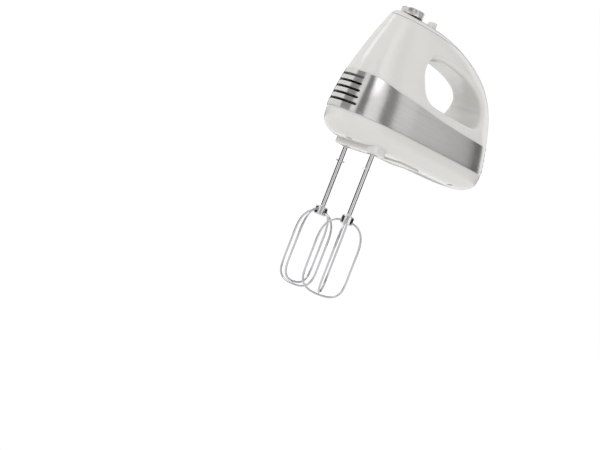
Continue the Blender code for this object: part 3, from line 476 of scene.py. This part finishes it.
def sheet(name, angles, lows, highs, rows, inner, outer):
    """A thin sheet over the skin; outer may be a function of height."""
    grid = []
    for out in (outer, inner):
        for j in range(rows + 1):
            z = lows + (highs - lows) * j / rows
            grid.append(skin(angles, z, out(z) if callable(out) else out))
    n = len(angles)
    verts = np.concatenate(grid)
    back = n * (rows + 1)
    faces = []
    for j in range(rows):
        for i in range(n - 1):
            a = j * n + i
            faces.append((a, a + 1, a + n + 1, a + n))
            faces.append((back + a + 1, back + a, back + a + n, back + a + n + 1))
        for a, flip in ((j * n, False), (j * n + n - 1, True)):
            quad = (back + a, a, a + n, back + a + n)
            faces.append(quad[::-1] if flip else quad)
    for i in range(n - 1):
        faces.append((back + i, back + i + 1, i + 1, i))
        a = rows * n + i
        faces.append((a, a + 1, back + a + 1, back + a))
    return object_from(name, verts, faces)


def angle_where(test):
    """The first angle from +X towards the heel at which the skin passes a test."""
    angle = 0.0
    while not test(skin(np.array([angle]), 45.0, 0.0)[0]):
        angle += 0.001
    return angle


def make_band():
    """The steel sheet round the nose and both sides, with rounded upper corners at its ends."""
    end = angle_where(lambda p: p[1] >= BAND_END_Y)
    angles = np.linspace(end, -math.pi - end, 420)
    spot = skin(angles, 60.0, 0.0)
    table = np.array(BAND_TOP)
    highs = monotone(table[:, 0], table[:, 1], spot[:, 1])
    away = np.linalg.norm(spot - spot[0], axis=1)
    other = np.linalg.norm(spot - spot[-1], axis=1)
    near = np.minimum(away, other)
    short = np.clip(BAND_CORNER - near, 0.0, BAND_CORNER)
    highs = highs - BAND_CORNER + np.sqrt(np.clip(BAND_CORNER ** 2 - short ** 2, 0.0, None))
    lows = np.full(len(angles), BAND_LOW)
    band = sheet("band_sheet", angles, lows, highs, 16, BAND_INNER, BAND_OUTER)
    for cut in slot_cutters():
        combine(band, cut, "DIFFERENCE")
    true_normals(band, 1.6)
    return band


def make_grille():
    """The louvred panel on the heel: a wavy sheet with a slit under each rib."""
    start = angle_where(lambda p: p[0] <= GRILLE_HALF)
    angles = np.linspace(start, math.pi - start, 90)
    size = np.ones(len(angles))

    def rib(z):
        return 0.45 + 0.9 * np.abs(np.sin(np.pi * (z - GRILLE_LOW) / LOUVRE_PITCH)) ** 0.6

    panel = sheet("grille_panel", angles, GRILLE_LOW * size, GRILLE_HIGH * size, 90, 0.3, rib)
    for i in range(4):
        z = GRILLE_LOW + LOUVRE_PITCH * (i + 1)
        outline = rounded(-16.5, 16.5, z - 0.7, z + 0.7, 0.68, 5)
        combine(panel, prism("gap", outline, 140, 190, "Y"), "DIFFERENCE")
    shade(panel, 40.0)
    return panel


def make_dial():
    """The round metal knob on its stem, with a small pip for its pointer."""
    steps = [(3.0, 128.5), (3.0, 145.1), (11.4, 145.12), (11.9, 145.4), (12.0, 145.8), (12.0, 150.4),
             (11.7, 150.5), (11.7, 150.9), (12.0, 151.0), (12.0, 151.5), (11.75, 151.95), (11.2, 152.2),
             (10.4, 152.2), (9.9, 151.9), (9.6, 151.5), (0.3, 151.3)]
    dial = turned("dial_knob", steps, 180)
    pip = turned("pip", [(0.9, 151.0), (0.9, 153.0)], 24, (0.0, -7.2, 0.0))
    combine(dial, pip, "DIFFERENCE")
    shade(dial, 30.0)
    return dial


def make_button():
    """The ejector's pale nub, sloping towards the dial."""
    outline = [(29.05, 141.05), (37.95, 141.05), (37.95, 151.2), (37.0, 151.95), (32.7, 151.95),
               (29.05, 146.2)]
    nub = prism("button_nub", outline, -3.95, 3.95, "X")
    bevelled(nub, 0.7, 4)
    shade(nub, 50.0)
    return nub


def make_loop(name, turn, x, lift):
    """One wire loop: the half outline mirrored, smoothed and given a round section."""
    half = np.array(LOOP) * np.array((1.0, LOOP_STRETCH))
    path = np.concatenate([half, half[-2::-1] * np.array((-1.0, 1.0))])
    gone = np.concatenate(([0.0], np.cumsum(np.linalg.norm(np.diff(path, axis=0), axis=1))))
    at = np.linspace(0.0, gone[-1], 150)
    r = monotone(gone, path[:, 0], at)
    z = np.interp(at, gone, path[:, 1])
    kernel = np.array((1.0, 4.0, 6.0, 4.0, 1.0)) / 16.0
    for _ in range(3):
        r[2:-2] = np.convolve(r, kernel, "valid")
        z[2:-2] = np.convolve(z, kernel, "valid")
    c, s = math.cos(math.radians(turn)), math.sin(math.radians(turn))
    centre = np.stack([x + r * c, r * s, z + LOOP_Z + lift], axis=1)
    ahead = np.gradient(centre, axis=0)
    ahead /= np.linalg.norm(ahead, axis=1)[:, None]
    side = np.array((-s, c, 0.0))
    rings = []
    for p, t in zip(centre, ahead):
        up = np.cross(t, side)
        w = 2.0 * np.pi * np.arange(20) / 20.0
        rings.append(p + WIRE_R * (np.outer(np.cos(w), side) + np.outer(np.sin(w), up)))
    wire = loft(name, rings)
    shade(wire, 60.0)
    return wire


def make_shaft(side, x, turn):
    """A beater's shaft with its hub and stop ears; close pairs of steps keep the long faces' shading true."""
    steps = [(3.2, -75.1), (5.3, -75.05), (5.9, -74.7), (6.2, -74.1), (6.2, -73.8), (6.2, -67.4),
             (6.2, -67.1), (5.9, -66.5), (5.3, -66.15), (3.0, -66.1), (2.6, -65.6), (2.25, -64.9),
             (2.25, -64.6), (2.25, 36.5), (2.25, 36.8), (1.9, 37.6), (1.35, 37.98)]
    shaft = turned("shaft_" + side, steps, 64, (x, 0.0, 0.0))
    a = math.radians(turn + 25.0)
    ears = prism("ears", rounded(-4.4, 4.4, -16.7, -15.3, 0.65, 5), -0.8, 0.8, "Y")
    spin = (Matrix.Translation(ZERO) @ Matrix.Translation((x * MM, 0.0, 0.0)) @ Matrix.Rotation(a, 4, "Z")
            @ Matrix.Translation(-ZERO))
    ears.data.transform(spin)
    combine(shaft, ears, "UNION")
    shade(shaft, 32.0)
    return shaft


def make_screw(x, y):
    """A screw from below with a cross drive in its head."""
    steps = [(2.4, 12.25), (2.85, 12.5), (3.0, 12.9), (3.0, 14.6), (1.0, 14.7), (1.0, 45.0)]
    head = turned("screw", steps, 40, (x, y, 0.0))
    for wide, deep in ((1.9, 0.4), (0.4, 1.9)):
        outline = [(x - wide, y - deep), (x + wide, y - deep), (x + wide, y + deep),
                   (x - wide, y + deep)]
        combine(head, prism("drive", outline, 11.0, 13.6, "Z"), "DIFFERENCE")
    shade(head, 32.0)
    return head


def wire_up(tree, a, out, b, into):
    tree.links.new(a.outputs[out], b.inputs[into])


def finish(name, colour, rough, metal=0.0, spread=0.03, scale=(60.0, 60.0, 60.0), rough_spread=0.06,
           bump=0.02, bump_scale=(900.0, 900.0, 900.0), coat=0.0, grain=0.0, shadow=0.0):
    """A procedural finish: wide colour change, uneven roughness, fine grain and painted shade that darkens
    corners.
    """
    made = bpy.data.materials.new(name)
    made.use_nodes = True
    tree = made.node_tree
    shader = tree.nodes["Principled BSDF"]
    shader.inputs["Metallic"].default_value = metal
    shader.inputs["Coat Weight"].default_value = coat
    shader.inputs["Coat Roughness"].default_value = 0.06
    if grain:
        shader.inputs["Anisotropic"].default_value = grain
    where = tree.nodes.new("ShaderNodeTexCoord")
    wide = tree.nodes.new("ShaderNodeMapping")
    wide.inputs["Scale"].default_value = scale
    fine = tree.nodes.new("ShaderNodeMapping")
    fine.inputs["Scale"].default_value = bump_scale
    wire_up(tree, where, "Object", wide, "Vector")
    wire_up(tree, where, "Object", fine, "Vector")
    clouds = tree.nodes.new("ShaderNodeTexNoise")
    clouds.inputs["Scale"].default_value = 1.0
    clouds.inputs["Detail"].default_value = 6.0
    clouds.inputs["Roughness"].default_value = 0.6
    wire_up(tree, wide, "Vector", clouds, "Vector")
    dust = tree.nodes.new("ShaderNodeTexNoise")
    dust.inputs["Scale"].default_value = 1.0
    dust.inputs["Detail"].default_value = 3.0
    wire_up(tree, fine, "Vector", dust, "Vector")
    ramp = tree.nodes.new("ShaderNodeValToRGB")
    ramp.color_ramp.elements[0].position = 0.3
    ramp.color_ramp.elements[1].position = 0.7
    dark = [max(0.0, c * (1.0 - spread)) for c in colour]
    light = [min(1.0, c * (1.0 + spread)) for c in colour]
    ramp.color_ramp.elements[0].color = (dark[0], dark[1], dark[2], 1.0)
    ramp.color_ramp.elements[1].color = (light[0], light[1], light[2], 1.0)
    wire_up(tree, clouds, "Fac", ramp, "Fac")
    # Painted shade: an ambient occlusion node darkens the base colour in corners and crevices, mixed in by the
    # shadow factor.
    corner = tree.nodes.new("ShaderNodeAmbientOcclusion")
    corner.samples = 6
    corner.inputs["Distance"].default_value = 0.004
    wire_up(tree, ramp, "Color", corner, "Color")
    mix = tree.nodes.new("ShaderNodeMix")
    mix.data_type = "RGBA"
    mix.inputs["Factor"].default_value = shadow
    tree.links.new(ramp.outputs["Color"], mix.inputs[6])
    tree.links.new(corner.outputs["Color"], mix.inputs[7])
    tree.links.new(mix.outputs[2], shader.inputs["Base Color"])
    spread_rough = tree.nodes.new("ShaderNodeMapRange")
    spread_rough.inputs["From Min"].default_value = 0.3
    spread_rough.inputs["From Max"].default_value = 0.7
    spread_rough.inputs["To Min"].default_value = max(0.02, rough - rough_spread)
    spread_rough.inputs["To Max"].default_value = min(1.0, rough + rough_spread)
    wire_up(tree, dust if grain else clouds, "Fac", spread_rough, "Value")
    tree.links.new(spread_rough.outputs["Result"], shader.inputs["Roughness"])
    lift = tree.nodes.new("ShaderNodeBump")
    lift.inputs["Strength"].default_value = bump
    lift.inputs["Distance"].default_value = 0.0003
    wire_up(tree, dust, "Fac", lift, "Height")
    wire_up(tree, lift, "Normal", shader, "Normal")
    return made


def all_finishes():
    """Every material slot's finish."""
    steel_grain = (700.0, 12.0, 5200.0)
    return {
        "white_plastic": finish("white_gloss", (0.66, 0.645, 0.615), 0.24, spread=0.015,
                                scale=(14.0, 14.0, 14.0), rough_spread=0.04, bump=0.012, coat=0.35, shadow=0.35),
        "steel_sheet": finish("ground_steel", (0.64, 0.635, 0.63), 0.17, 1.0, 0.07,
                              (220.0, 9.0, 2600.0), 0.05, 0.05, steel_grain, grain=0.2),
        "chrome_shaft": finish("shaft_chrome", (0.60, 0.60, 0.61), 0.07, 1.0, 0.04,
                               (90.0, 90.0, 20.0), 0.04, 0.02, (1500.0, 1500.0, 120.0)),
        "chrome_wire": finish("wire_chrome", (0.55, 0.55, 0.56), 0.10, 1.0, 0.05,
                              (160.0, 160.0, 160.0), 0.05, 0.03, (1800.0, 1800.0, 400.0)),
        "dial_metal": finish("dial_aluminium", (0.62, 0.61, 0.60), 0.24, 1.0, 0.12,
                             (500.0, 500.0, 30.0), 0.07, 0.08, (2600.0, 2600.0, 100.0), grain=0.5),
        "nylon": finish("nylon", (0.74, 0.71, 0.62), 0.42, spread=0.04, bump=0.05, shadow=0.6),
        "black_plastic": finish("black_moulding", (0.035, 0.035, 0.037), 0.45, spread=0.15, bump=0.10,
                                shadow=0.4),
        "grey_plastic": finish("grey_moulding", (0.30, 0.30, 0.31), 0.45, spread=0.06, bump=0.10,
                               shadow=0.6),
        "motor_steel": finish("laminated_steel", (0.30, 0.30, 0.31), 0.38, 1.0, 0.15,
                              (80.0, 1900.0, 80.0), 0.1, 0.25, (60.0, 2400.0, 60.0)),
        "copper": finish("enamelled_copper", (0.55, 0.25, 0.12), 0.35, 1.0, 0.2,
                         (900.0, 300.0, 900.0), 0.08, 0.5, (300.0, 2600.0, 300.0), shadow=0.6),
        "bronze": finish("sintered_bronze", (0.50, 0.37, 0.21), 0.45, 1.0, 0.12, bump=0.2, shadow=0.5),
        "carbon": finish("graphite", (0.04, 0.04, 0.042), 0.6, spread=0.2, bump=0.2),
        "circuit_board": finish("green_laminate", (0.04, 0.20, 0.09), 0.35, spread=0.25,
                                scale=(700.0, 700.0, 700.0), bump=0.08, coat=0.2),
        "yellow_film": finish("yellow_film", (0.72, 0.55, 0.08), 0.35, spread=0.05, bump=0.04),
        "screw_steel": finish("zinc_steel", (0.55, 0.55, 0.57), 0.3, 1.0, 0.1, bump=0.06, shadow=0.5),
    }


def paint(target, used):
    target.data.materials.clear()
    target.data.materials.append(used)


def fit_out(used, slots):
    """Makes each refined piece, lets it ride on its body and stand for its CAD node."""
    pieces = [
        (make_housing(), "housing", "main_housing"), (make_cover(), "housing", "top_cover"),
        (make_base(), "housing", "lower_housing"), (make_band(), "housing", "steel_band"),
        (make_grille(), "housing", "rear_grille"), (make_dial(), "dial", "speed_dial"),
        (make_button(), "ejector", "eject_button"),
    ]
    for side, x in (("left", -BEATER_X), ("right", BEATER_X)):
        turn = TURNS[side]
        body = "beater_" + side
        pieces.append((make_shaft(side, x, turn), body, "beater_shaft_" + side))
        outer = make_loop("outer_wire_" + side, turn, x, 0.0)
        pieces.append((outer, body, "beater_loop_outer_" + side))
        inner = make_loop("inner_wire_" + side, turn + 90.0, x, INNER_LIFT)
        pieces.append((inner, body, "beater_loop_inner_" + side))
    for label, (x, y) in POSTS.items():
        pieces.append((make_screw(x, y), "housing", "housing_screw_" + label))
    for piece, body, node in pieces:
        piece.name = node + "_look"
        paint(piece, used[slots[node]])
        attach(piece, body)
        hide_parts(node)
    for name, node in frame["nodes"].items():
        paint(node, used[slots[name]])


FLOOR_DROP = 0.012
FLOOR_R = 3.0


def make_floor(low):
    """A pale floor that curves up into a wall all round, far away."""
    t = 2.0 * np.pi * np.arange(96) / 96
    profile = [(0.01, 0.0), (1.0, 0.0), (FLOOR_R, 0.0)]
    for i in range(1, 13):
        a = math.radians(90.0 * i / 12)
        profile.append((FLOOR_R + FLOOR_R * math.sin(a), FLOOR_R * (1.0 - math.cos(a))))
    profile.append((2.0 * FLOOR_R, 5.0))
    verts = []
    for radius, height in profile:
        verts.extend([(radius * math.cos(a), radius * math.sin(a), low + height) for a in t])
    faces = []
    for j in range(len(profile) - 1):
        for i in range(96):
            k = (i + 1) % 96
            faces.append((j * 96 + i, j * 96 + k, (j + 1) * 96 + k, (j + 1) * 96 + i))
    faces.append(tuple(range(95, -1, -1)))
    mesh = bpy.data.meshes.new("studio_floor")
    mesh.from_pydata(verts, [], faces)
    mesh.shade_smooth()
    floor = bpy.data.objects.new("studio_floor", mesh)
    bpy.context.scene.collection.objects.link(floor)
    paper = finish("studio_paper", (0.30, 0.30, 0.30), 0.9, spread=0.01, scale=(3.0, 3.0, 3.0), bump=0.0)
    glow = paper.node_tree.nodes["Principled BSDF"]
    glow.inputs["Emission Color"].default_value = (1.0, 1.0, 1.0, 1.0)
    glow.inputs["Emission Strength"].default_value = 0.72
    glow.inputs["Specular IOR Level"].default_value = 0.1
    paint(floor, paper)


# Cards round the set: the bearings where each starts and stops, in degrees from the nose, and its
# brightness. A row has one distance from the mixer and one pair of heights, all in millimetres.
HIGH_ROW = (2900.0, 235.0, 2300.0)
HIGH_CARDS = ((-60, -10, 1.0), (-10, 40, 0.35), (40, 60, 1.0), (60, 80, 0.2), (80, 105, 1.0),
              (105, 120, 0.25), (120, 140, 0.85), (140, 150, 0.6), (150, 165, 0.15), (165, 185, 1.2),
              (200, 245, 0.1))
LOW_ROW = (1600.0, -90.0, 145.0)
LOW_CARDS = ((-60, -20, 0.03), (-20, 20, 1.2), (20, 65, 0.6), (65, 110, 1.4), (110, 300, 0.03))


def make_card(name, start, stop, row, tone):
    """One upright card, bent round the set between two bearings and seen only in reflections."""
    reach, low, high = row
    verts = []
    for i in range(5):
        a = math.radians(start + (stop - start) * i / 4.0)
        for height in (low, high):
            verts.append((reach * math.sin(a), 20.0 - reach * math.cos(a), height))
    faces = [(2 * i, 2 * i + 2, 2 * i + 3, 2 * i + 1) for i in range(4)]
    card = object_from(name, verts, faces)
    card.visible_camera = False
    card.visible_diffuse = False
    card.visible_shadow = False
    card.visible_transmission = False
    board = bpy.data.materials.new(name)
    board.use_nodes = True
    shader = board.node_tree.nodes["Principled BSDF"]
    shader.inputs["Base Color"].default_value = (0.0, 0.0, 0.0, 1.0)
    shader.inputs["Specular IOR Level"].default_value = 0.0
    shader.inputs["Emission Color"].default_value = (1.0, 0.99, 0.98, 1.0)
    shader.inputs["Emission Strength"].default_value = tone
    paint(card, board)


def make_cards():
    """Cards of unlike tones give the metal its stripes: a high row for the band, a low for the beaters."""
    for number, (start, stop, tone) in enumerate(HIGH_CARDS):
        make_card("card_high_%02d" % number, start, stop, HIGH_ROW, tone)
    for number, (start, stop, tone) in enumerate(LOW_CARDS):
        make_card("card_low_%02d" % number, start, stop, LOW_ROW, tone)


def softbox(name, spot, size, power, colour):
    """A rectangular lamp at a spot in metres, turned towards the mixer."""
    data = bpy.data.lights.new(name, "AREA")
    data.shape = "RECTANGLE"
    data.size = size[0]
    data.size_y = size[1]
    data.energy = power
    data.color = colour
    lamp = bpy.data.objects.new(name, data)
    lamp.location = spot
    lamp.rotation_euler = (-Vector(spot)).to_track_quat("-Z", "Y").to_euler()
    bpy.context.scene.collection.objects.link(lamp)


def light_studio():
    """A pale room with a soft lamp ahead and a weaker one from the side."""
    world = bpy.context.scene.world or bpy.data.worlds.new("studio")
    bpy.context.scene.world = world
    world.use_nodes = True
    back = world.node_tree.nodes["Background"]
    back.inputs["Color"].default_value = (0.95, 0.97, 1.0, 1.0)
    back.inputs["Strength"].default_value = 0.9
    softbox("key", (-0.7, -1.6, 1.5), (1.0, 0.8), 6.5, (1.0, 0.99, 0.97))
    softbox("side", (1.9, -0.2, 1.2), (0.7, 1.2), 2.5, (0.97, 0.98, 1.0))
    bpy.context.scene.view_settings.view_transform = "Standard"


CAMERA_TURN = 43.5
CAMERA_RISE = -0.009794
CAMERA_ROLL = 0.37119
CAMERA_PLACE = (963.67, -1056.68, -105.95)


def place_camera():
    """The view of the photograph: from the front right, a little below the body and rolled."""
    data = bpy.data.cameras.new("photo_camera")
    data.lens = 85.0
    data.sensor_width = 36.0
    camera = bpy.data.objects.new("photo_camera", data)
    turn, rise, roll = math.radians(CAMERA_TURN), CAMERA_RISE, CAMERA_ROLL
    back = Vector((math.sin(turn) * math.cos(rise), -math.cos(turn) * math.cos(rise), math.sin(rise)))
    right = Vector((math.cos(turn), math.sin(turn), 0.0))
    up = back.cross(right)
    side = right * math.cos(roll) + up * math.sin(roll)
    top = up * math.cos(roll) - right * math.sin(roll)
    matrix = Matrix((side, top, back)).transposed().to_4x4()
    matrix.translation = ZERO + Vector(CAMERA_PLACE) * MM
    camera.matrix_world = matrix
    bpy.context.scene.collection.objects.link(camera)
    bpy.context.scene.camera = camera


slot_of = {part["node"]: part["material_slot"] for part in frame["record"]["subparts"]}
fit_out(all_finishes(), slot_of)
make_floor(cad_bounds[0][2] - FLOOR_DROP)
make_cards()
light_studio()
place_camera()
